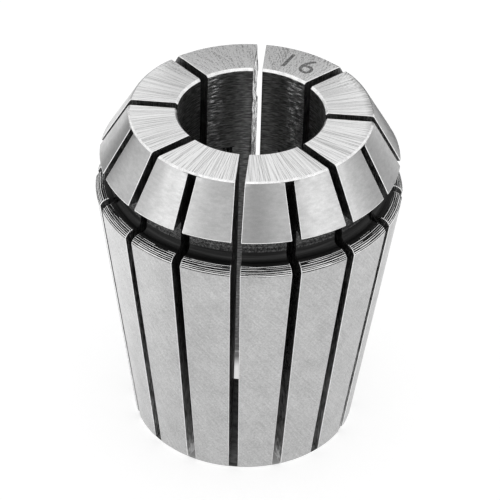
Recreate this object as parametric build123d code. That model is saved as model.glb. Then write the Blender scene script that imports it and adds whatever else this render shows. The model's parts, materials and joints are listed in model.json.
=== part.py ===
from build123d import *
import os
from math import cos, radians, sin, sqrt, tan

# Spring collet: one turned and ground piece with a long seat taper, a short nut cone and
# saw slots cut in turn from both ends. It stands on its small rear face, with that face at
# Z = 0 and its axis on Z. Lengths are in millimetres and angles in degrees.

# Whole collet
collet_length = 40.0
bore_diameter = 15.875
bore_edge_chamfer = 0.25

# Long ground taper that seats in the chuck. Its diameter is given at its large end.
seat_diameter = 33.4
seat_half_angle = 8.0
rear_edge_chamfer = 0.3

# Short cone that the clamping nut presses on, and the flange that it ends in
nut_cone_half_angle = 30.0
nut_cone_height = 5.46
front_rim_chamfer = 0.15
flange_inside_seat = 0.45
flange_land = 0.15

# Groove behind the flange, where the nut's ring pulls the collet out
groove_depth = 1.65
groove_width = 3.3
groove_corner_chamfer = 0.5

# Rounded shoulder from the groove to the taper, with the feed ridges that turning left on it.
# The taper was ground later, and cuts the rounding off at this angle above the horizontal.
shoulder_radius = 1.05
shoulder_end_angle = 16.0
feed_ridges = 6
feed_ridge_depth = 0.04

# Saw slots. Each lip is what the saw leaves at the outer edge of the far face.
slots_per_end = 8
slot_width = 1.0
saw_diameter = 63.0
saw_past_bore_wall = 1.4
front_slot_lip = 0.15
rear_slot_lip = 0.3
saw_overrun = 2.0

# Radii and heights that follow from the sizes above
bore_radius = bore_diameter / 2
seat_radius = seat_diameter / 2
flange_radius = seat_radius - flange_inside_seat
groove_radius = flange_radius - groove_depth
front_face_radius = flange_radius - nut_cone_height * tan(radians(nut_cone_half_angle))
flange_edge_z = collet_length - nut_cone_height
flange_underside_z = flange_edge_z - flange_land
groove_ledge_z = flange_underside_z - groove_width
shoulder_centre_z = groove_ledge_z - shoulder_radius
shoulder_centre_radius = seat_radius - shoulder_radius * cos(radians(shoulder_end_angle))
seat_end_z = shoulder_centre_z + shoulder_radius * sin(radians(shoulder_end_angle))
rear_face_radius = seat_radius - seat_end_z * tan(radians(seat_half_angle))
saw_radius = saw_diameter / 2
saw_centre_radius = bore_radius - saw_past_bore_wall + saw_radius
slot_pitch = 360 / slots_per_end


def on_shoulder(angle, depth):
    """A point of the section that far below the shoulder's rounding, at an angle above the horizontal."""
    radius = shoulder_radius - depth
    return (
        shoulder_centre_radius + radius * cos(radians(angle)),
        shoulder_centre_z + radius * sin(radians(angle)),
    )


def shoulder_ridges():
    """The section of the shoulder: crests on its rounding, with a root between each two."""
    ridge_angle = (90 - shoulder_end_angle) / feed_ridges
    points = [on_shoulder(shoulder_end_angle, 0)]
    for ridge in range(feed_ridges):
        angle = shoulder_end_angle + ridge * ridge_angle
        points.append(on_shoulder(angle + ridge_angle / 2, feed_ridge_depth))
        points.append(on_shoulder(angle + ridge_angle, 0))
    return points


def half_section():
    """One side of the section along the axis, drawn with radius as X and height as Y."""
    rear_corner = (rear_face_radius, 0)
    ledge_corner = (groove_radius, groove_ledge_z)
    rim_corner = (front_face_radius, collet_length)
    bore_corners = [(bore_radius, 0), (bore_radius, collet_length)]
    outline = [
        bore_corners[0],
        rear_corner,
        *shoulder_ridges(),
        ledge_corner,
        (groove_radius, flange_underside_z),
        (flange_radius, flange_underside_z),
        (flange_radius, flange_edge_z),
        rim_corner,
        bore_corners[1],
    ]
    section = make_face(Polyline(*outline, close=True))

    def at(corner):
        return section.vertices().sort_by_distance(corner)[0]

    section = chamfer(at(ledge_corner), groove_corner_chamfer)
    section = chamfer(at(rear_corner), rear_edge_chamfer)
    section = chamfer(at(rim_corner), front_rim_chamfer)
    for corner in bore_corners:
        section = chamfer(at(corner), bore_edge_chamfer)
    return section


def saw_run_out(end_radius):
    """Height from the saw's centre to where its rim passes end_radius."""
    return sqrt(saw_radius**2 - (saw_centre_radius - end_radius) ** 2)


def saw_cut(centre_z, open_end_z):
    """What the saw sweeps on its way in along +X, from the open end to its last position."""
    disc = Pos(saw_centre_radius, centre_z) * Circle(saw_radius)
    sweep = Rectangle(saw_diameter, abs(open_end_z - centre_z))
    outline = disc + Pos(saw_centre_radius, (centre_z + open_end_z) / 2) * sweep
    return extrude(Plane.XZ * outline, slot_width / 2, both=True)


def slots_around(cut, first_angle):
    return [Rot(0, 0, first_angle + slot_pitch * turn) * cut for turn in range(slots_per_end)]


def make_collet():
    turned = revolve(Plane.XZ * half_section(), Axis.Z)
    from_front = saw_cut(
        front_slot_lip + saw_run_out(rear_face_radius), collet_length + saw_overrun
    )
    from_rear = saw_cut(
        collet_length - rear_slot_lip - saw_run_out(front_face_radius), -saw_overrun
    )
    collet = turned - slots_around(from_front, -90) - slots_around(from_rear, -90 + slot_pitch / 2)
    collet.label = "collet"
    return collet


os.makedirs("parts", exist_ok=True)
export_step(make_collet(), "parts/collet.step")
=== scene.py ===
import json
import random
from math import asin, atan2, ceil, cos, floor, pi, radians, sin, sqrt, tan

import bmesh
import bpy
from mathutils import Matrix, Vector, noise

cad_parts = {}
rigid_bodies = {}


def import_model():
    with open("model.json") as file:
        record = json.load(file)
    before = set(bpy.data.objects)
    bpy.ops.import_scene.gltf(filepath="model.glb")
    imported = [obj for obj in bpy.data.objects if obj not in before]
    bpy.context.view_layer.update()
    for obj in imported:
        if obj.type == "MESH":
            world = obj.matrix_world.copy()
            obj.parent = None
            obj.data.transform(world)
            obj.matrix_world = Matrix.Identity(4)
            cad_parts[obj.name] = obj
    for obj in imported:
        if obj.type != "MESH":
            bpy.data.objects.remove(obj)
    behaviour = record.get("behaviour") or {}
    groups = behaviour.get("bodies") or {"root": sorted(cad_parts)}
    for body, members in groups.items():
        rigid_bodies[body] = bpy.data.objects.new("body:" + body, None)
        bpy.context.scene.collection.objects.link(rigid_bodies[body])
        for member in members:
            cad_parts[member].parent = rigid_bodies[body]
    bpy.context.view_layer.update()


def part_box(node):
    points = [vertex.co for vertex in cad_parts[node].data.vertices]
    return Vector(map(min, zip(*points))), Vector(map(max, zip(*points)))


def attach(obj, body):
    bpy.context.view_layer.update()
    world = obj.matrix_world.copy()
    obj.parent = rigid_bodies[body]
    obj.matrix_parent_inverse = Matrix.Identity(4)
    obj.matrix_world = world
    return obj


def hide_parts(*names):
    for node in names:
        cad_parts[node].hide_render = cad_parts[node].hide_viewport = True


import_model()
rearCorner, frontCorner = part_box("collet")
print("frame loaded")

mm = 0.001

# Form of the collet. Its length comes from the frame.
collet = {
    # Turned and ground sizes
    "length": frontCorner.z - rearCorner.z,
    "boreRadius": 7.9375 * mm,
    "boreChamfer": 0.25 * mm,
    "seatRadius": 16.7 * mm,        # of the long taper, at its large end
    "seatAngle": radians(8),
    "rearChamfer": 0.3 * mm,
    "flangeRadius": 16.25 * mm,
    "flangeLand": 0.15 * mm,
    "nutAngle": radians(30),
    "nutHeight": 5.46 * mm,
    "rimChamfer": 0.15 * mm,
    "grooveRadius": 14.6 * mm,
    "grooveWidth": 3.3 * mm,
    "grooveFillet": 0.6 * mm,
    "grooveGrain": 2.35 * mm,       # how far under the flange the groove's wall stays grainy, above the ledge's painted shade
    "shoulderRadius": 1.05 * mm,
    "shoulderEnd": radians(16),     # where the ground taper cuts the rounding off
    "shoulderSkin": 0.8,            # points nearer to the rounding's centre than this share aren't on it
    "markRelief": 0.01 * mm,        # the front face lies this far under the size mark's top
    # Saw slots, as many from the front as from the rear
    "slotsPerEnd": 8,
    "firstSlot": radians(-90),
    "slotWidth": 1.0 * mm,
    "sawRadius": 31.5 * mm,
    "sawReach": 6.5375 * mm,        # the nearest that the saw's rim comes to the axis
    "frontLip": 0.15 * mm,
    "rearLip": 0.3 * mm,
    "edgeBreak": 0.07 * mm,         # the deburred edge along each slot
    "edgeRunOut": 0.4 * mm,         # length over which it opens out from the slot's end
    "edgeRows": (0.25, 0.6, 1.0),   # where that has rows of points, as shares of the length
    "edgeSpare": 1.1,               # a row needs this many times its own step before the next corner
    # Corners and faces
    "cornerRound": 0.08 * mm,       # radius of the corners that have none of their own
    "cornerStep": radians(18),      # the most that one face of a rounded corner turns
    "sharpTurn": radians(26),       # corners that turn less than this stay as they are
    "sharpShading": radians(40),    # edges that turn more than this are shaded sharp
    "rowLength": 2.6 * mm,          # the longest face along the section
    "columns": 6,                   # faces across a segment
    "edgeSteps": 3,                 # faces round a broken slot edge
    "slotFloorSteps": 16,           # faces along the floor that the saw leaves
    "weld": 0.0003 * mm,            # points nearer than this are joined
    # Ridges that the feed of the turning tool left on the shoulder
    "feedRows": 60,                 # faces up the shoulder
    "feedRidges": 6,
    "feedDepth": 0.05 * mm,
    "feedFade": radians(4),         # over which they fade out at both ends of the shoulder
    "feedWander": 0.1,              # how uneven their pitch is
    "feedWanderUp": 11,             # how fast that changes up the shoulder
    "feedWanderRound": 5,           # and round it
    "feedJitter": 0.35,             # how far the ridges of one segment stray, in pitches
    "feedSeed": 7,
    "valleyTop": 0.8,               # share of a ridge's width that is painted dark as shade in its valley, beside the groove
    "valleyFoot": 0.52,             # and beside the ground taper
    "valleyBreaks": 0.22,           # how much that share strays along a ridge
    "breaksRound": 6,               # how fast it strays for each radian round
    "breaksUp": 1.3,                # and from each ridge to the next
}

finishes = [
    "face", "rim", "nutCone", "groove", "shadedLedge", "shoulder", "valleyShade", "seat", "rear", "boreRim",
    "bore", "edge", "slot", "slotFloor",
]
overSlotEdges = ("groove", "shadedLedge", "bore")     # finishes that run on over the slots' broken edges

frontZ = collet["length"] - collet["markRelief"]
flangeEdgeZ = collet["length"] - collet["nutHeight"]
flangeUndersideZ = flangeEdgeZ - collet["flangeLand"]
ledgeZ = flangeUndersideZ - collet["grooveWidth"]
faceRadius = collet["flangeRadius"] - collet["nutHeight"] * tan(collet["nutAngle"])
shoulderCentre = Vector((
    collet["seatRadius"] - collet["shoulderRadius"] * cos(collet["shoulderEnd"]),
    ledgeZ - collet["shoulderRadius"],
))
seatEndZ = shoulderCentre.y + collet["shoulderRadius"] * sin(collet["shoulderEnd"])
rearRadius = collet["seatRadius"] - seatEndZ * tan(collet["seatAngle"])
sawCentreRadius = collet["sawReach"] + collet["sawRadius"]
sector = pi / collet["slotsPerEnd"]     # angle from the middle of a front slot to the next rear one's


def chamferLegs(before, corner, after, leg):
    # The two corners that a chamfer leaves in place of one
    return [corner + (end - corner).normalized() * leg for end in (before, after)]


def turnedCorners():
    # Corners of half the section as (radius, height), each with the finish of the edge that it starts.
    # A corner that isn't broken by the usual small radius has its own.
    bore, chamfer = collet["boreRadius"], collet["boreChamfer"]
    rearInner, rearOuter = Vector((bore, 0)), Vector((rearRadius, 0))
    frontInner, frontOuter = Vector((bore, frontZ)), Vector((faceRadius, frontZ))
    seatEnd = Vector((collet["seatRadius"], seatEndZ))
    flangeEdge = Vector((collet["flangeRadius"], flangeEdgeZ))
    rearChamfer = chamferLegs(rearInner, rearOuter, seatEnd, collet["rearChamfer"])
    rimChamfer = chamferLegs(flangeEdge, frontOuter, frontInner, collet["rimChamfer"])
    shoulder = []
    for row in range(collet["feedRows"] + 1):
        angle = collet["shoulderEnd"] + (pi / 2 - collet["shoulderEnd"]) * row / collet["feedRows"]
        step = Vector((cos(angle), sin(angle))) * collet["shoulderRadius"]
        shoulder.append((shoulderCentre + step, "shoulder"))
    groove = collet["grooveRadius"]
    return [
        (Vector((bore, chamfer)), "boreRim"),
        (Vector((bore + chamfer, 0)), "rear"),
        (rearChamfer[0], "rim"),
        (rearChamfer[1], "seat"),
        *shoulder[:-1],
        (shoulder[-1][0], "shadedLedge"),
        (Vector((groove, ledgeZ)), "shadedLedge", collet["grooveFillet"]),
        (Vector((groove, flangeUndersideZ - collet["grooveGrain"])), "groove"),
        (Vector((groove, flangeUndersideZ)), "groove"),
        (Vector((collet["flangeRadius"], flangeUndersideZ)), "rim"),
        (flangeEdge, "nutCone"),
        (rimChamfer[0], "rim"),
        (rimChamfer[1], "face"),
        (Vector((bore + chamfer, frontZ)), "boreRim"),
        (Vector((bore, frontZ - chamfer)), "bore"),
    ]


def roundCorner(before, corner, after, radius):
    # The corner's points once it is rounded
    back, on = (before - corner).normalized(), (after - corner).normalized()
    half = back.angle(on) / 2
    centre = corner + (back + on).normalized() * radius / sin(half)
    start = corner + back * radius / tan(half) - centre
    end = corner + on * radius / tan(half) - centre
    steps = ceil((pi - 2 * half) / collet["cornerStep"])
    return [centre + start.slerp(end, step / steps) * radius for step in range(steps + 1)]


def sawRunOut(radius):
    # How far along the axis the saw reaches beyond its own centre
    return sqrt(collet["sawRadius"] ** 2 - (sawCentreRadius - radius) ** 2)


def floorHeight(end, radius):
    # Height of the floor that the saw leaves, for a slot sawn from that end
    if end == "front":
        return collet["frontLip"] + sawRunOut(rearRadius) - sawRunOut(radius)
    return frontZ - collet["rearLip"] - sawRunOut(faceRadius) + sawRunOut(radius)


def metalLeft(end, point):
    # Above zero where the slot leaves metal in its middle plane
    above = point.y - floorHeight(end, point.x)
    return -above if end == "front" else above


def slotEnd(end, first, second):
    # Where between two points of the section the saw's path crosses it, found by halving
    halvings = 40
    for halving in range(halvings):
        middle = (first + second) / 2
        if (metalLeft(end, middle) > 0) == (metalLeft(end, first) > 0):
            first = middle
        else:
            second = middle
    return (first + second) / 2


def withSlotEnds(outline, end):
    # The section with a point at each end of the slot, and rows for its edge to open out over
    marked, ends = [], []
    for i, (point, finish) in enumerate(outline):
        after = outline[(i + 1) % len(outline)][0]
        marked.append((point, finish))
        if (metalLeft(end, point) > 0) != (metalLeft(end, after) > 0):
            crossing = slotEnd(end, point, after)
            ends.append(crossing)
            rows = [crossing]
            cutSide = after if metalLeft(end, point) > 0 else point
            for share in collet["edgeRows"]:
                step = share * collet["edgeRunOut"]
                if (cutSide - crossing).length > step * collet["edgeSpare"]:
                    rows.append(crossing + (cutSide - crossing).normalized() * step)
            rows.sort(key=lambda row: (row - point).length)
            marked += [(row, finish) for row in rows]
    return marked, ends


def colletOutline():
    # The whole half section as a closed run of points, and each slot's two ends on it
    corners = turnedCorners()
    rounded = []
    for i, (corner, finish, *ownRadius) in enumerate(corners):
        before, after = corners[i - 1][0], corners[(i + 1) % len(corners)][0]
        sharp = (corner - before).angle(after - corner) > collet["sharpTurn"]
        radius = ownRadius[0] if ownRadius else collet["cornerRound"]
        points = roundCorner(before, corner, after, radius) if sharp else [corner]
        rounded += [(point, finish) for point in points]
    outline = []
    for i, (point, finish) in enumerate(rounded):
        after = rounded[(i + 1) % len(rounded)][0]
        rows = ceil((after - point).length / collet["rowLength"])
        outline += [(point.lerp(after, row / rows), finish) for row in range(rows)]
    outline, frontEnds = withSlotEnds(outline, "front")
    outline, rearEnds = withSlotEnds(outline, "rear")
    return outline, {"front": frontEnds, "rear": rearEnds}


def inwardAt(outline, i):
    # Into the metal, square to the section, and long enough to keep an even inset round a corner
    before, here, after = outline[i - 1][0], outline[i][0], outline[(i + 1) % len(outline)][0]
    sides = []
    for step in (here - before, after - here):
        sides.append(Vector((-step.y, step.x)).normalized())
    middle = (sides[0] + sides[1]).normalized()
    leastShare = 0.5    # keeps the step short at a sharp corner
    return middle / max(middle.dot(sides[0]), leastShare)


def edgeBreakAt(end, point, ends):
    # How far the slot's edge is broken at a point of the section: nothing where the saw left metal
    if metalLeft(end, point) > 0:
        return 0
    distance = min((point - slotEndPoint).length for slotEndPoint in ends)
    return collet["edgeBreak"] * min(1, distance / collet["edgeRunOut"])


def slotSide(point, inward, edgeBreak):
    # From a slot's middle plane to its edge on the surface: (radius, height, angle from the slot)
    half = collet["slotWidth"] / 2
    side = [(point.x, point.y, 0)]
    for step in range(collet["edgeSteps"] + 1):
        turn = pi / 2 * step / collet["edgeSteps"]
        inset = point + inward * edgeBreak * (1 - sin(turn))
        offset = half + edgeBreak * (1 - cos(turn))
        side.append((inset.x, inset.y, asin(offset / inset.x)))
    return side


def fromFrontSlot(places):
    # Places beside a rear slot, with their angles from the front slot next to it
    return [(radius, height, sector - angle) for radius, height, angle in places]


def sectorRows(outline, ends):
    # Points of one segment, from the middle of a front slot to the middle of a rear one, row by row
    rows = []
    for i, (point, _) in enumerate(outline):
        inward = inwardAt(outline, i)
        front = slotSide(point, inward, edgeBreakAt("front", point, ends["front"]))
        rear = slotSide(point, inward, edgeBreakAt("rear", point, ends["rear"]))
        rear = fromFrontSlot(reversed(rear))
        start, end = front[-1][2], rear[0][2]
        between = []
        for column in range(1, collet["columns"]):
            between.append((point.x, point.y, start + (end - start) * column / collet["columns"]))
        rows.append(front + between + rear)
    return rows


def skinFaces(outline, rows):
    # Faces of one segment's turned skin, its slot edges and the webs that the saw leaves, by finish
    lastColumn = len(rows[0]) - 1
    faces = []
    for i, (point, finish) in enumerate(outline):
        j = (i + 1) % len(outline)
        middle = (point + outline[j][0]) / 2
        cut = {end: metalLeft(end, middle) < 0 for end in ("front", "rear")}
        for column in range(lastColumn):
            fromEnd = min(column, lastColumn - 1 - column)
            end = "front" if column < lastColumn / 2 else "rear"
            isWeb = fromEnd == 0
            isEdge = 0 < fromEnd <= collet["edgeSteps"]
            if (isWeb and cut[end]) or (isEdge and not cut[end]):
                continue
            corners = [(i, column), (i, column + 1), (j, column + 1), (j, column)]
            isBright = isEdge and finish not in overSlotEdges
            faces.append((corners, "edge" if isBright else finish))
    return faces


def slotFloor(end, outer, inner):
    # The saw's path from the bore out to the slot's far end, between the two ends on the section
    floorRow = []
    for step in range(1, collet["slotFloorSteps"]):
        radius = inner.x + (outer.x - inner.x) * step / collet["slotFloorSteps"]
        floorRow.append(Vector((radius, floorHeight(end, radius))))
    return floorRow


def slotFaces(outline, rows, end, ends):
    # One wall of a slot and half of its floor. The floor's points are new rows after the outline's.
    outer, inner = sorted(ends, key=lambda point: -point.x)
    outerIndex = min(range(len(outline)), key=lambda i: (outline[i][0] - outer).length)
    innerIndex = min(range(len(outline)), key=lambda i: (outline[i][0] - inner).length)
    middleColumn, wallColumn = (0, 1) if end == "front" else (-1, -2)
    run = [outerIndex]
    step = 1 if end == "front" else -1
    while run[-1] != innerIndex:
        run.append((run[-1] + step) % len(outline))
    floorIndices = []
    for point in slotFloor(end, outer, inner):
        middle, wall = slotSide(point, Vector((0, 0)), 0)[:2]
        if end == "rear":
            middle, wall = fromFrontSlot((middle, wall))
        floorIndices.append(len(rows))
        rows.append([middle, wall] if end == "front" else [wall, middle])
    wallFace = [(i, wallColumn) for i in run + floorIndices]
    faces = [(wallFace, "slot")]
    path = [innerIndex] + floorIndices + [outerIndex]
    for here, there in zip(path, path[1:]):
        quad = [(here, middleColumn), (here, wallColumn), (there, wallColumn), (there, middleColumn)]
        faces.append((quad, "slotFloor"))
    return faces


def acrossRidge(radius, height, phase):
    # Place across the nearest feed ridge of the shoulder, from -1 to 1 with its valley at 0.
    # Phase shifts the ridges by that many pitches.
    away = Vector((radius, height)) - shoulderCentre
    angle = atan2(away.y, away.x)
    along = (angle - collet["shoulderEnd"]) / (pi / 2 - collet["shoulderEnd"])
    if not 0 <= along <= 1 or away.length < collet["shoulderRadius"] * collet["shoulderSkin"]:
        return None
    wander = collet["feedWander"] * sin(along * collet["feedWanderUp"] + phase * collet["feedWanderRound"])
    ridge = along * collet["feedRidges"] + phase + wander
    return 2 * (ridge - floor(ridge)) - 1


def feedMark(radius, height, phase):
    # Moves a point of the shoulder into the scallops that the turning tool left there
    across = acrossRidge(radius, height, phase)
    if across is None:
        return radius, height
    away = Vector((radius, height)) - shoulderCentre
    angle = atan2(away.y, away.x)
    toEnd = min(angle - collet["shoulderEnd"], pi / 2 - angle)
    depth = collet["feedDepth"] * (1 - across * across) * min(1, toEnd / collet["feedFade"])
    moved = away.normalized() * (away.length - depth) + shoulderCentre
    return moved.x, moved.y


def shoulderFinishAt(corners, rows, direction, zero, stray):
    # A face of the shoulder is painted dark in the valleys between its ridges, a painted shade
    places = [rows[i][column] for i, column in corners]
    radius, height, angle = (sum(values) / len(places) for values in zip(*places))
    azimuth = zero + direction * angle
    across = acrossRidge(radius, height, azimuth / (2 * pi) + stray)
    if across is None:
        return "shoulder"
    up = (height - seatEndZ) / (ledgeZ - seatEndZ)
    share = collet["valleyFoot"] + (collet["valleyTop"] - collet["valleyFoot"]) * up
    place = (azimuth * collet["breaksRound"], up * collet["feedRidges"] * collet["breaksUp"], 0)
    share += collet["valleyBreaks"] * noise.noise(place)
    return "valleyShade" if abs(across) < share else "shoulder"


def addSegment(body, rows, faces, segment, stray):
    # A front slot has a segment on each side, and the two are mirror images
    zero = collet["firstSlot"] + 2 * sector * (segment // 2)
    direction = 1 if segment % 2 == 0 else -1
    grid = []
    for row in rows:
        line = []
        for radius, height, angle in row:
            azimuth = zero + direction * angle
            radius, height = feedMark(radius, height, azimuth / (2 * pi) + stray)
            line.append(body.verts.new((radius * cos(azimuth), radius * sin(azimuth), height)))
        grid.append(line)
    for corners, finish in faces:
        face = body.faces.new([grid[i][column] for i, column in corners])
        if finish == "shoulder":
            finish = shoulderFinishAt(corners, rows, direction, zero, stray)
        face.material_index = finishes.index(finish)
        face.smooth = True


def buildCollet():
    outline, ends = colletOutline()
    rows = sectorRows(outline, ends)
    faces = skinFaces(outline, rows)
    for end in ("front", "rear"):
        faces += slotFaces(outline, rows, end, ends[end])
    strays = random.Random(collet["feedSeed"])
    body = bmesh.new()
    for segment in range(2 * collet["slotsPerEnd"]):
        stray = strays.uniform(-1, 1) * collet["feedJitter"]
        addSegment(body, rows, faces, segment, stray)
    loose = [vert for vert in body.verts if not vert.link_faces]
    bmesh.ops.delete(body, geom=loose, context="VERTS")
    bmesh.ops.remove_doubles(body, verts=body.verts, dist=collet["weld"])
    bmesh.ops.recalc_face_normals(body, faces=body.faces)
    openEdges = sum(not edge.is_manifold for edge in body.edges)
    mesh = bpy.data.meshes.new("colletBody")
    body.to_mesh(mesh)
    body.free()
    mesh.set_sharp_from_angle(angle=collet["sharpShading"])
    piece = bpy.data.objects.new("colletBody", mesh)
    bpy.context.scene.collection.objects.link(piece)
    weighted = piece.modifiers.new("even shading", "WEIGHTED_NORMAL")
    weighted.keep_sharp = True
    weighted.weight = 100       # large faces decide
    print("collet body:", len(mesh.polygons), "faces,", openEdges, "open edges")
    return piece


def addNode(tree, kind, inputs=None, **settings):
    # A shader node with its settings made, and its inputs set or linked
    made = tree.nodes.new(kind)
    for name, value in settings.items():
        setattr(made, name, value)
    for name, value in (inputs or {}).items():
        if isinstance(value, bpy.types.NodeSocket):
            tree.links.new(value, made.inputs[name])
        else:
            made.inputs[name].default_value = value
    return made


def calculate(tree, operation, *values):
    return addNode(tree, "ShaderNodeMath", dict(enumerate(values)), operation=operation).outputs[0]


def blended(tree, *parts):
    # Patterns added up, each times its share
    total = 0
    for pattern, share in parts:
        total = calculate(tree, "MULTIPLY_ADD", pattern, share, total)
    return total


def turnedCoordinates(tree):
    # Angle round the axis in radians, and radius, height and place in millimetres
    vectorMath = "ShaderNodeVectorMath"
    metres = addNode(tree, "ShaderNodeTexCoord").outputs["Object"]
    place = addNode(tree, vectorMath, {0: metres, "Scale": 1 / mm}, operation="SCALE").outputs[0]
    level = addNode(tree, vectorMath, {0: place, 1: (1, 1, 0)}, operation="MULTIPLY").outputs[0]
    radius = addNode(tree, vectorMath, {0: level}, operation="LENGTH").outputs["Value"]
    parts = addNode(tree, "ShaderNodeSeparateXYZ", {0: place}).outputs
    angle = calculate(tree, "ARCTAN2", parts["Y"], parts["X"])
    return {"angle": angle, "radius": radius, "height": parts["Z"], "place": place}


def towards(tree, at, azimuth):
    # How far a place lies from the axis in that level direction, in millimetres
    direction = (cos(azimuth), sin(azimuth), 0)
    product = addNode(tree, "ShaderNodeVectorMath", {0: at["place"], 1: direction}, operation="DOT_PRODUCT")
    return product.outputs["Value"]


mostNoise = (0.36, 0.64)    # most values of a noise lie between these
allNoise = (0.3, 0.7)       # and nearly all between these


def noiseAt(tree, place, scale, detail, roughness):
    inputs = {"Vector": place, "Scale": scale, "Detail": detail, "Roughness": roughness}
    return addNode(tree, "ShaderNodeTexNoise", inputs).outputs["Fac"]


def grain(tree, at, scale, detail=4, roughness=0.6):
    return noiseAt(tree, at["place"], scale, detail, roughness)


def streaks(tree, at, perAngle=0, perRadius=0, perHeight=0, slant=0, detail=3, roughness=0.6):
    # Noise stretched along the way that a tool ran, by how fast it changes round, outward and upward.
    # Slant shifts it round as the radius grows.
    shift = calculate(tree, "MULTIPLY", at["radius"], slant)
    around = calculate(tree, "MULTIPLY_ADD", at["angle"], perAngle, shift)
    outward = calculate(tree, "MULTIPLY", at["radius"], perRadius)
    upward = calculate(tree, "MULTIPLY", at["height"], perHeight)
    place = addNode(tree, "ShaderNodeCombineXYZ", {0: around, 1: outward, 2: upward}).outputs[0]
    return noiseAt(tree, place, 1, detail, roughness)


def mapped(tree, value, span, reach):
    # Runs over the reach, from its first to its second, as the value runs over the span
    inputs = {
        "Value": value, "From Min": span[0], "From Max": span[1], "To Min": reach[0], "To Max": reach[1],
    }
    return addNode(tree, "ShaderNodeMapRange", inputs).outputs["Result"]


def grey(level):
    return (level, level, level, 1)


def greyBetween(tree, value, span, greys):
    # A grey that runs between the two as the value runs over the span
    ramp = addNode(tree, "ShaderNodeValToRGB", {"Fac": value})
    for stop, position, level in zip(ramp.color_ramp.elements, span, greys):
        stop.position = position
        stop.color = grey(level)
    return ramp.outputs["Color"]


def steelMaterial(name):
    material = bpy.data.materials.new(name)
    material.use_nodes = True
    tree = material.node_tree
    shader = tree.nodes["Principled BSDF"]
    shader.inputs["Metallic"].default_value = 1
    return material, tree, shader


# How each finish of the collet looks. Its marks turn from dark to light over the span, between the two
# greys. Roughness has two values where it differs from dark marks to light ones, and bump has its
# strength and its depth. Lengths here are in millimetres.
looks = {
    "nutCone": {"span": (0.36, 0.64), "greys": (0.38, 0.53), "roughness": (0.36, 0.26), "bump": (0.12, 0.02)},
    "shoulder": {"span": (0.3, 0.7), "greys": (0.75, 1), "roughness": 0.26, "bump": (0.3, 0.01)},
    "valleyShade": {"span": (0.52, 0.75), "greys": (0.008, 0.3), "roughness": 0.45, "bump": (0.3, 0.01)},
    "groove": {"span": (0.45, 0.66), "greys": (0.025, 0.24), "roughness": (0.6, 0.38), "bump": (0.5, 0.05)},
    "shadedLedge": {"span": (0.35, 0.7), "greys": (0.018, 0.05), "roughness": 0.55, "bump": (0.3, 0.02)},
    "slotFloor": {"span": (0.35, 0.7), "greys": (0.03, 0.11), "roughness": 0.5, "bump": (0.3, 0.02)},
    "rim": {"span": (0.3, 0.6), "greys": (0.7, 0.95), "roughness": 0.25, "bump": (0.1, 0.02)},
    "slotEdge": {"span": (0.3, 0.6), "greys": (0.7, 0.95), "roughness": 0.3, "bump": (0.1, 0.02)},
    "seat": {
        "span": (0.36, 0.64),
        "greys": (0.38, 0.65),
        "roughness": (0.4, 0.3),
        "bump": (0.2, 0.02),
        "pitsFrom": (0.66, 0.74),   # only the peaks of a noise make pits,
        "pitting": 0.12,            # which darken it by this much
    },
    "face": {
        "span": (0.35, 0.54),
        "greys": (0.32, 0.86),
        "roughness": (0.42, 0.26),
        "bump": (0.4, 0.02),
        "rubbedSide": radians(90),  # it is rubbed to a mottle on this side,
        "rubbedFrom": (5, 9.5),     # more and more over these distances from the axis,
        "rubbing": (0.1, 1),        # and by this much
        "mottle": (-0.12, 0.15),    # how far that darkens and brightens it,
        "crossing": (-0.07, 0.1),   # and how far the lines across it do
        "shadedSide": radians(30),    # its rim is painted darker on this side, a painted shade,
        "shadedFrom": (8, 11.5),      # more and more over these distances from the axis
        "shadedRim": (12.2, 13),      # and over these radii,
        "rimShading": 0.12,            # by this much
    },
    "bore": {
        "span": (0.42, 0.66),
        "greys": (0.35, 1),
        "roughness": (0.3, 0.85),   # of the wall, and of the scratches in it
        "bump": (0.7, 0.03),
        "bands": [                  # how bright it is in bands, by the share of a turn
            (0.62, 0.72), (0.66, 1), (0.7, 0.72), (0.74, 0.6), (0.765, 0.76),
            (0.8, 0.62), (0.82, 0.78), (0.85, 1), (0.89, 0.72),
        ],
        "elsewhere": 0.78,
        "scratchesFrom": (0.5, 0.62),    # the upper part of a noise makes scratches,
        "scratchedBands": (0.78, 0.95),  # more and more over these brightnesses of the bands
    },
    "slot": {
        "span": (0.4, 0.64),
        "greys": (0.2, 0.6),
        "roughness": (0.52, 0.3),
        "bump": (0.6, 0.04),
        "scaledAndShaded": (23, 11),         # heights over which the wall's darkening thins out, partly scale from hardening and partly painted shade away from the floor's light,
        "scaleAndShadeGreys": (0.42, 1),    # and how bright it leaves the wall there
        "litFoot": (14, 2),            # heights over which the wall brightens once more towards the floor, a painted light,
        "litFootGreys": (1, 1.6),      # and how much
        "torn": (0.48, 0.53),       # noise over which the wall turns from even to torn
        "filedSlot": radians(90),   # this slot was filed bright all the way up
        "filedWithin": radians(12),
        "filedRoughness": 0.12,
    },
}


def applyBump(tree, shader, look, marks):
    strength, depth = look["bump"]
    bump = addNode(tree, "ShaderNodeBump", {"Height": marks, "Strength": strength, "Distance": depth * mm})
    tree.links.new(bump.outputs["Normal"], shader.inputs["Normal"])


def applyLook(tree, shader, look, tone, marks):
    # Colour and roughness follow the tone, and the bump follows the marks
    colour = greyBetween(tree, tone, look["span"], look["greys"])
    tree.links.new(colour, shader.inputs["Base Color"])
    if isinstance(look["roughness"], tuple):
        roughness = mapped(tree, tone, allNoise, look["roughness"])
        tree.links.new(roughness, shader.inputs["Roughness"])
    else:
        shader.inputs["Roughness"].default_value = look["roughness"]
    applyBump(tree, shader, look, marks)


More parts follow.
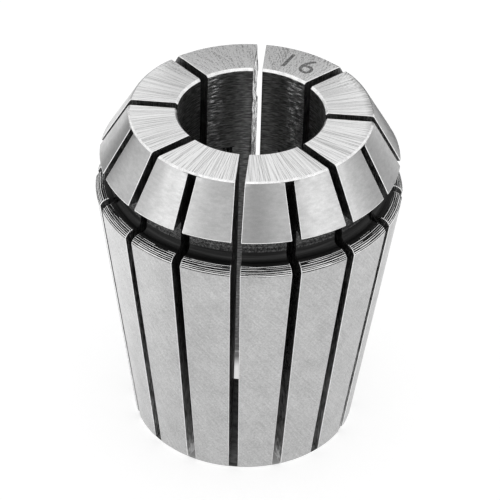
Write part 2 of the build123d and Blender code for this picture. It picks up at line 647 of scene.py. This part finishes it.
def faceFinish():
    # Ground with a cup wheel, which leaves fine lines that fan out from the bore
    material, tree, shader = steelMaterial("faceGround")
    look = looks["face"]
    at = turnedCoordinates(tree)
    fan = streaks(tree, at, perAngle=190, perRadius=0.06, slant=0.3, detail=2)
    bold = streaks(tree, at, perAngle=110, perRadius=0.06, slant=-0.7, detail=2)
    lines = blended(tree, (bold, 0.5), (fan, 0.5))
    # One side is rubbed to a mottle with lines across it
    speck = mapped(tree, grain(tree, at, 4.2, roughness=0.7), mostNoise, look["mottle"])
    crossing = streaks(tree, at, perAngle=55, perRadius=0.06, slant=-2.5, detail=2)
    mottle = calculate(tree, "ADD", speck, mapped(tree, crossing, mostNoise, look["crossing"]))
    rubbed = mapped(tree, towards(tree, at, look["rubbedSide"]), look["rubbedFrom"], look["rubbing"])
    lines = calculate(tree, "MULTIPLY_ADD", mottle, rubbed, lines)
    # The rim is painted darker beside that, a painted shade
    rimShade = mapped(tree, towards(tree, at, look["shadedSide"]), look["shadedFrom"], (0, look["rimShading"]))
    rimShade = calculate(tree, "MULTIPLY", rimShade, mapped(tree, at["radius"], look["shadedRim"], (0, 1)))
    lines = calculate(tree, "SUBTRACT", lines, rimShade)
    applyLook(tree, shader, look, lines, lines)
    return material


def nutConeFinish():
    # Ground and then touched with a fine stone, so nearly even
    material, tree, shader = steelMaterial("coneSatin")
    at = turnedCoordinates(tree)
    cloud = grain(tree, at, 0.5)
    fine = grain(tree, at, 9)
    stoned = streaks(tree, at, perAngle=16, perHeight=3.2)
    tone = blended(tree, (cloud, 0.3), (fine, 0.3), (stoned, 0.4))
    applyLook(tree, shader, looks["nutCone"], tone, fine)
    return material


def seatFinish():
    # Ground all over, with a fine grain, fainter slanting lines and a few pits
    material, tree, shader = steelMaterial("seatSatin")
    look = looks["seat"]
    at = turnedCoordinates(tree)
    cloud = grain(tree, at, 0.35)
    fine = grain(tree, at, 5, detail=6, roughness=0.7)
    slanting = blended(tree, (at["height"], 3.5), (at["angle"], 70))
    along = calculate(tree, "MULTIPLY", at["height"], 0.35)
    place = addNode(tree, "ShaderNodeCombineXYZ", {0: slanting, 1: along}).outputs[0]
    lines = noiseAt(tree, place, 1, detail=2, roughness=0.5)
    pits = grain(tree, at, 1.6, detail=8, roughness=0.75)
    pits = mapped(tree, pits, look["pitsFrom"], (0, look["pitting"]))
    tone = blended(tree, (cloud, 0.2), (fine, 0.6), (lines, 0.2))
    tone = calculate(tree, "SUBTRACT", tone, pits)
    applyLook(tree, shader, look, tone, fine)
    return material


def shoulderFinish():
    # Bright crests of the feed ridges
    material, tree, shader = steelMaterial("shoulderTurned")
    at = turnedCoordinates(tree)
    fine = streaks(tree, at, perAngle=3, perRadius=12, perHeight=12, detail=4)
    applyLook(tree, shader, looks["shoulder"], fine, fine)
    return material


def valleyShadeFinish():
    # The ridges' valleys, painted dark as shade
    material, tree, shader = steelMaterial("shoulderValleyShade")
    at = turnedCoordinates(tree)
    broken = streaks(tree, at, perAngle=7, perRadius=8, perHeight=8)
    applyLook(tree, shader, looks["valleyShade"], broken, broken)
    return material


def grooveFinish():
    # Left as it was turned and hardened: grainy and dark, partly its own colour and partly painted shade
    # under the flange
    material, tree, shader = steelMaterial("grooveTurnedAndShaded")
    at = turnedCoordinates(tree)
    speck = grain(tree, at, 5, detail=6, roughness=0.75)
    rings = streaks(tree, at, perAngle=0.6, perRadius=3, perHeight=9)
    tone = blended(tree, (rings, 0.25), (speck, 0.75))
    applyLook(tree, shader, looks["groove"], tone, speck)
    return material


def shadedLedgeFinish():
    # The lower part of the groove, smoother, and painted nearly black as the shade under the flange and
    # shoulder
    material, tree, shader = steelMaterial("grooveLedgeShade")
    at = turnedCoordinates(tree)
    rings = streaks(tree, at, perAngle=1.5, perRadius=4, perHeight=4)
    applyLook(tree, shader, looks["shadedLedge"], rings, rings)
    return material


def boreFinish():
    # Honed, with short bright streaks round the bore, and brighter and duller in bands round it
    material, tree, shader = steelMaterial("boreHoned")
    look = looks["bore"]
    at = turnedCoordinates(tree)
    turn = mapped(tree, at["angle"], (-pi, pi), (0, 1))
    bands = addNode(tree, "ShaderNodeValToRGB", {"Fac": turn})
    for stop in bands.color_ramp.elements:
        stop.color = grey(look["elsewhere"])
    for position, level in look["bands"]:
        bands.color_ramp.elements.new(position).color = grey(level)
    banded = bands.outputs["Color"]
    fine = streaks(tree, at, perAngle=8, perHeight=6, detail=2)
    base = calculate(tree, "MULTIPLY", banded, mapped(tree, fine, look["span"], look["greys"]))
    tree.links.new(base, shader.inputs["Base Color"])
    # Open scratches in the brightest bands, rough enough to catch the light from the front
    scratches = streaks(tree, at, perAngle=7, perHeight=6.5, detail=1, roughness=0.5)
    scratches = mapped(tree, scratches, look["scratchesFrom"], (0, 1))
    scored = calculate(tree, "MULTIPLY", scratches, mapped(tree, banded, look["scratchedBands"], (0, 1)))
    tree.links.new(mapped(tree, scored, (0, 1), look["roughness"]), shader.inputs["Roughness"])
    applyBump(tree, shader, look, fine)
    return material


def slotFinish():
    # Sawn walls, scored along by the saw and torn in patches
    material, tree, shader = steelMaterial("slotSawn")
    look = looks["slot"]
    at = turnedCoordinates(tree)
    saw = streaks(tree, at, perRadius=5, perHeight=0.35, detail=5, roughness=0.75)
    # Scale and painted shade stay high up in the slots, apart from the one that was filed
    fromFiled = calculate(tree, "ABSOLUTE", calculate(tree, "SUBTRACT", at["angle"], look["filedSlot"]))
    filed = calculate(tree, "LESS_THAN", fromFiled, look["filedWithin"])
    bareAndLit = mapped(tree, at["height"], look["scaledAndShaded"], look["scaleAndShadeGreys"])
    bareAndLit = calculate(tree, "MAXIMUM", filed, bareAndLit)
    base = calculate(tree, "MULTIPLY", mapped(tree, saw, look["span"], look["greys"]), bareAndLit)
    # Painted light from the floor, brighter towards the rear end
    paintedFootLight = mapped(tree, at["height"], look["litFoot"], look["litFootGreys"])
    tree.links.new(calculate(tree, "MULTIPLY", base, paintedFootLight), shader.inputs["Base Color"])
    torn = streaks(tree, at, perRadius=1.4, perHeight=0.8, detail=4, roughness=0.8)
    torn = mapped(tree, torn, look["torn"], (0, 1))
    tree.links.new(calculate(tree, "MULTIPLY", bareAndLit, torn), shader.inputs["Specular Tint"])
    smoothed = calculate(tree, "MULTIPLY", filed, torn)
    sawn = mapped(tree, saw, allNoise, look["roughness"])
    roughness = addNode(tree, "ShaderNodeMix", {0: smoothed, 2: sawn, 3: look["filedRoughness"]})
    tree.links.new(roughness.outputs[0], shader.inputs["Roughness"])
    applyBump(tree, shader, look, calculate(tree, "SUBTRACT", torn, smoothed))
    return material


def slotFloorFinish():
    # What the saw's rim left where it stopped
    material, tree, shader = steelMaterial("slotFloorSawn")
    at = turnedCoordinates(tree)
    saw = streaks(tree, at, perAngle=8, perHeight=3, detail=4)
    applyLook(tree, shader, looks["slotFloor"], saw, saw)
    return material


def edgeFinish(name, look):
    # Bright where the corners are broken
    material, tree, shader = steelMaterial(name)
    wear = grain(tree, turnedCoordinates(tree), 1.5)
    applyLook(tree, shader, look, wear, wear)
    return material


def finishCollet(piece):
    seat = seatFinish()
    byFinish = {
        "face": faceFinish(),
        "rim": edgeFinish("rimBroken", looks["rim"]),
        "nutCone": nutConeFinish(),
        "groove": grooveFinish(),
        "shadedLedge": shadedLedgeFinish(),
        "shoulder": shoulderFinish(),
        "valleyShade": valleyShadeFinish(),
        "seat": seat,
        "rear": seat,
        "boreRim": edgeFinish("boreRimBroken", looks["rim"]),
        "bore": boreFinish(),
        "edge": edgeFinish("slotEdgeBroken", looks["slotEdge"]),
        "slot": slotFinish(),
        "slotFloor": slotFloorFinish(),
    }
    for finish in finishes:
        piece.data.materials.append(byFinish[finish])
    print("collet finished")


# Bore size in whole millimetres, etched on the front face
sizeMark = {
    "text": "16",
    "height": 2.8 * mm,
    "fontScale": 1.4,               # size of the font for each unit of its figures' height
    "curveSteps": 4,
    "spacing": 1.25,
    "azimuth": radians(66),
    "radius": 10.4 * mm,
    "span": (0.42, 0.66),           # over which its patches turn from dark to light
    "greys": (0.12, 0.4),
    "roughness": 0.5,
}


def markFinish():
    # Etched dark, and patchy
    material, tree, shader = steelMaterial("markEtched")
    patchy = grain(tree, turnedCoordinates(tree), 5, detail=5)
    colour = greyBetween(tree, patchy, sizeMark["span"], sizeMark["greys"])
    tree.links.new(colour, shader.inputs["Base Color"])
    shader.inputs["Roughness"].default_value = sizeMark["roughness"]
    return material


def buildSizeMark():
    curve = bpy.data.curves.new("sizeMark", "FONT")
    curve.body = sizeMark["text"]
    curve.size = sizeMark["height"] * sizeMark["fontScale"]
    curve.space_character = sizeMark["spacing"]
    curve.align_x = "CENTER"
    curve.align_y = "CENTER"
    curve.resolution_u = sizeMark["curveSteps"]
    text = bpy.data.objects.new("sizeMark", curve)
    bpy.context.scene.collection.objects.link(text)
    bpy.context.view_layer.update()
    mesh = bpy.data.meshes.new_from_object(text)
    bpy.data.objects.remove(text)
    mark = bpy.data.objects.new("sizeMark", mesh)
    bpy.context.scene.collection.objects.link(mark)
    azimuth = sizeMark["azimuth"]
    centre = Vector((cos(azimuth), sin(azimuth), 0)) * sizeMark["radius"]
    centre.z = collet["length"] - collet["markRelief"] / 2
    mesh.transform(Matrix.Translation(centre) @ Matrix.Rotation(azimuth - pi / 2, 4, "Z"))
    solid = mark.modifiers.new("etched depth", "SOLIDIFY")
    solid.thickness = collet["markRelief"]
    solid.offset = 0
    mesh.materials.append(markFinish())
    print("size mark etched:", sizeMark["text"])
    return mark


body = buildCollet()
finishCollet(body)
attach(body, "root")
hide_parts("collet")
mark = buildSizeMark()
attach(mark, "root")

# Studio: a pale floor and soft light, for a camera that looks down at the front face
studio = {
    "floorSize": 6.0,
    "floorGap": 0.02 * mm,          # keeps the floor clear of the rear end
    "floorGrey": 0.5,
    "floorRoughness": 0.9,
    "floorGlow": 0.66,              # what the camera sees of the floor besides its own shade
    "slotGlow": 0.12,               # how much of that the painted shadow under the collet's wall leaves, inside the slots
    "boreFloor": (5.4, 7.6),        # radii over which that painted shadow fades out in the bore, in millimetres
    "rightShine": 0.61,             # what reflections see of the floor, on the right
    "leftShine": 0.92,              # and on the far left
    "shineSpan": (-4, 28),          # where that changes, in millimetres towards the far left
    "farLeft": radians(135),
    "underRadius": 12.2,            # of the collet's rear end, in millimetres
    "underShine": 0.5,              # what they see of the floor under the collet's wall, a painted shade
    "boreShine": 0.23,              # and under its bore, also a painted shade
    "worldLevel": 0.8,
    "cameraPlace": (0.291 * mm, -244.882 * mm, 207.916 * mm),
    "cameraTurn": radians(4.1),     # round the axis, after the camera is placed
    "cameraTilt": radians(52.68281),
    "cameraRoll": radians(1.65437),
    "lens": 200,
    "sensorWidth": 36,
    "clipStart": 0.01,
}


def floorGlow(tree):
    # What the camera and reflections see of the floor, besides the light that falls on it
    at = turnedCoordinates(tree)
    rays = addNode(tree, "ShaderNodeLightPath").outputs
    # Under the collet's wall the camera sees little of the glow, a painted shadow
    outside = calculate(tree, "GREATER_THAN", at["radius"], studio["underRadius"])
    inBore = mapped(tree, at["radius"], studio["boreFloor"], (1, 0))
    outsidePaintedShadow = calculate(tree, "ADD", outside, inBore)
    outsidePaintedShadow = calculate(tree, "MAXIMUM", outsidePaintedShadow, studio["slotGlow"])
    seen = calculate(tree, "ADD", rays["Is Camera Ray"], rays["Is Transmission Ray"])
    seen = calculate(tree, "MULTIPLY", seen, outsidePaintedShadow)
    aside = towards(tree, at, studio["farLeft"])
    shine = mapped(tree, aside, studio["shineSpan"], (studio["rightShine"], studio["leftShine"]))
    # Reflections see less of the floor under the collet, a painted shade
    underBore = calculate(tree, "LESS_THAN", at["radius"], collet["boreRadius"] / mm)
    under = mapped(tree, underBore, (0, 1), (studio["underShine"], studio["boreShine"]))
    shine = mapped(tree, outside, (0, 1), (under, shine))
    shine = calculate(tree, "MULTIPLY", rays["Is Glossy Ray"], shine)
    return calculate(tree, "MULTIPLY_ADD", seen, studio["floorGlow"], shine)


def floorMaterial():
    material = bpy.data.materials.new("studioFloor")
    material.use_nodes = True
    tree = material.node_tree
    shader = tree.nodes["Principled BSDF"]
    shader.inputs["Base Color"].default_value = grey(studio["floorGrey"])
    shader.inputs["Roughness"].default_value = studio["floorRoughness"]
    shader.inputs["Specular IOR Level"].default_value = 0
    shader.inputs["Emission Color"].default_value = grey(1)
    tree.links.new(floorGlow(tree), shader.inputs["Emission Strength"])
    # Clear from below, so that the rear end can be looked at
    below = addNode(tree, "ShaderNodeNewGeometry").outputs["Backfacing"]
    clear = addNode(tree, "ShaderNodeBsdfTransparent").outputs[0]
    solid = addNode(tree, "ShaderNodeMixShader", {0: below, 1: shader.outputs[0], 2: clear}).outputs[0]
    tree.links.new(solid, tree.nodes["Material Output"].inputs["Surface"])
    return material


def addCard(name, corners, material):
    # A flat piece with four corners
    mesh = bpy.data.meshes.new(name)
    mesh.from_pydata(corners, [], [(0, 1, 2, 3)])
    mesh.materials.append(material)
    card = bpy.data.objects.new(name, mesh)
    bpy.context.scene.collection.objects.link(card)
    return card


def buildFloor():
    half = studio["floorSize"] / 2
    z = rearCorner.z - studio["floorGap"]
    corners = [(-half, -half, z), (half, -half, z), (half, half, z), (-half, half, z)]
    floorPiece = addCard("studioFloor", corners, floorMaterial())


def fromCamera(azimuth):
    # Level direction away from the axis, with azimuth 0 towards the camera
    turn = azimuth + studio["cameraTurn"]
    return Vector((sin(turn), -cos(turn), 0))


def panelMaterial(name, brightness):
    material = bpy.data.materials.new(name)
    material.use_nodes = True
    tree = material.node_tree
    tree.nodes.clear()
    light = addNode(tree, "ShaderNodeEmission", {"Color": grey(1), "Strength": brightness})
    output = addNode(tree, "ShaderNodeOutputMaterial")
    tree.links.new(light.outputs[0], output.inputs["Surface"])
    return material


def addPanel(name, corners, brightness):
    # A card that only reflections see
    panel = addCard(name, corners, panelMaterial(name, brightness))
    panel.visible_camera = False
    panel.visible_shadow = False
    panel.visible_diffuse = False


# Panels round the collet: azimuth from the camera's, elevation, distance, width, height, brightness
panels = {
    "leftBox": (radians(-58), radians(15), 0.8, 0.42, 0.5, 1.95),
    "rightBox": (radians(55), radians(17), 0.8, 0.34, 0.5, 1.9),
    "rightStrip": (radians(80), radians(10), 0.8, 0.14, 0.4, 1.9),
    "topBox": (radians(0), radians(68), 0.8, 0.6, 0.6, 1.15),
    "frontFlag": (radians(6), radians(20), 0.5, 0.13, 0.26, 0.4),
    "leftBackFlag": (radians(-123), radians(3), 0.15, 0.062, 0.1, 0.3),
    "rightBackFlag": (radians(112), radians(3), 0.15, 0.09, 0.1, 0.7),
    "leftRimFlag": (radians(-156), radians(5), 0.15, 0.08, 0.12, 0.45),
    "rightRimFlag": (radians(152), radians(5), 0.15, 0.08, 0.12, 0.25),
}


def buildPanel(name, azimuth, elevation, distance, width, height, brightness):
    outward, across = fromCamera(azimuth), fromCamera(azimuth + pi / 2)
    away = outward * cos(elevation) + Vector((0, 0, sin(elevation)))
    upward = Vector((0, 0, cos(elevation))) - outward * sin(elevation)
    centre = away * distance + Vector((0, 0, collet["length"] / 2))
    sides = ((-1, -1), (1, -1), (1, 1), (-1, 1))
    corners = [centre + across * x * width / 2 + upward * y * height / 2 for x, y in sides]
    addPanel(name, corners, brightness)


# A small dark flag just behind the front face, which shades its far side
faceFlag = {"behind": 21 * mm, "bottom": 39 * mm, "top": 52 * mm, "width": 20 * mm, "brightness": 0.5}


def buildFaceFlag():
    behind, across = fromCamera(pi) * faceFlag["behind"], fromCamera(pi / 2) * faceFlag["width"] / 2
    low, high = Vector((0, 0, faceFlag["bottom"])), Vector((0, 0, faceFlag["top"]))
    corners = [behind - across + low, behind + across + low, behind + across + high, behind - across + high]
    addPanel("faceFlag", corners, faceFlag["brightness"])


# Another that lies level behind on the right, and shades the nut cone's far edge
floorFlag = {"azimuth": radians(150), "near": 45 * mm, "far": 110 * mm, "width": 40 * mm, "brightness": 0.15}


def buildFloorFlag():
    outward, across = fromCamera(floorFlag["azimuth"]), fromCamera(floorFlag["azimuth"] + pi / 2)
    half = across * floorFlag["width"] / 2
    near, far = outward * floorFlag["near"], outward * floorFlag["far"]
    addPanel("floorFlag", [near - half, near + half, far + half, far - half], floorFlag["brightness"])


def buildWorld():
    # White where it is seen or reflected, and softer as light on matt surfaces
    world = bpy.data.worlds.new("studio")
    world.use_nodes = True
    tree = world.node_tree
    background = tree.nodes["Background"]
    background.inputs["Color"].default_value = grey(1)
    rays = addNode(tree, "ShaderNodeLightPath").outputs
    seen = calculate(tree, "ADD", rays["Is Camera Ray"], rays["Is Glossy Ray"])
    seen = calculate(tree, "ADD", seen, rays["Is Transmission Ray"])
    strength = mapped(tree, seen, (0, 1), (studio["worldLevel"], 1))
    tree.links.new(strength, background.inputs["Strength"])
    bpy.context.scene.world = world


def buildCamera():
    data = bpy.data.cameras.new("camera")
    data.lens = studio["lens"]
    data.sensor_width = studio["sensorWidth"]
    data.clip_start = studio["clipStart"]
    camera = bpy.data.objects.new("camera", data)
    aim = Matrix.Rotation(studio["cameraTilt"], 4, "X") @ Matrix.Rotation(studio["cameraRoll"], 4, "Z")
    turn = Matrix.Rotation(studio["cameraTurn"], 4, "Z")
    camera.matrix_world = turn @ Matrix.Translation(studio["cameraPlace"]) @ aim
    bpy.context.scene.collection.objects.link(camera)
    bpy.context.scene.camera = camera


buildFloor()
for name, place in panels.items():
    buildPanel(name, *place)
buildFaceFlag()
buildFloorFlag()
buildWorld()
buildCamera()
bpy.context.scene.view_settings.view_transform = "Standard"
print("studio built")
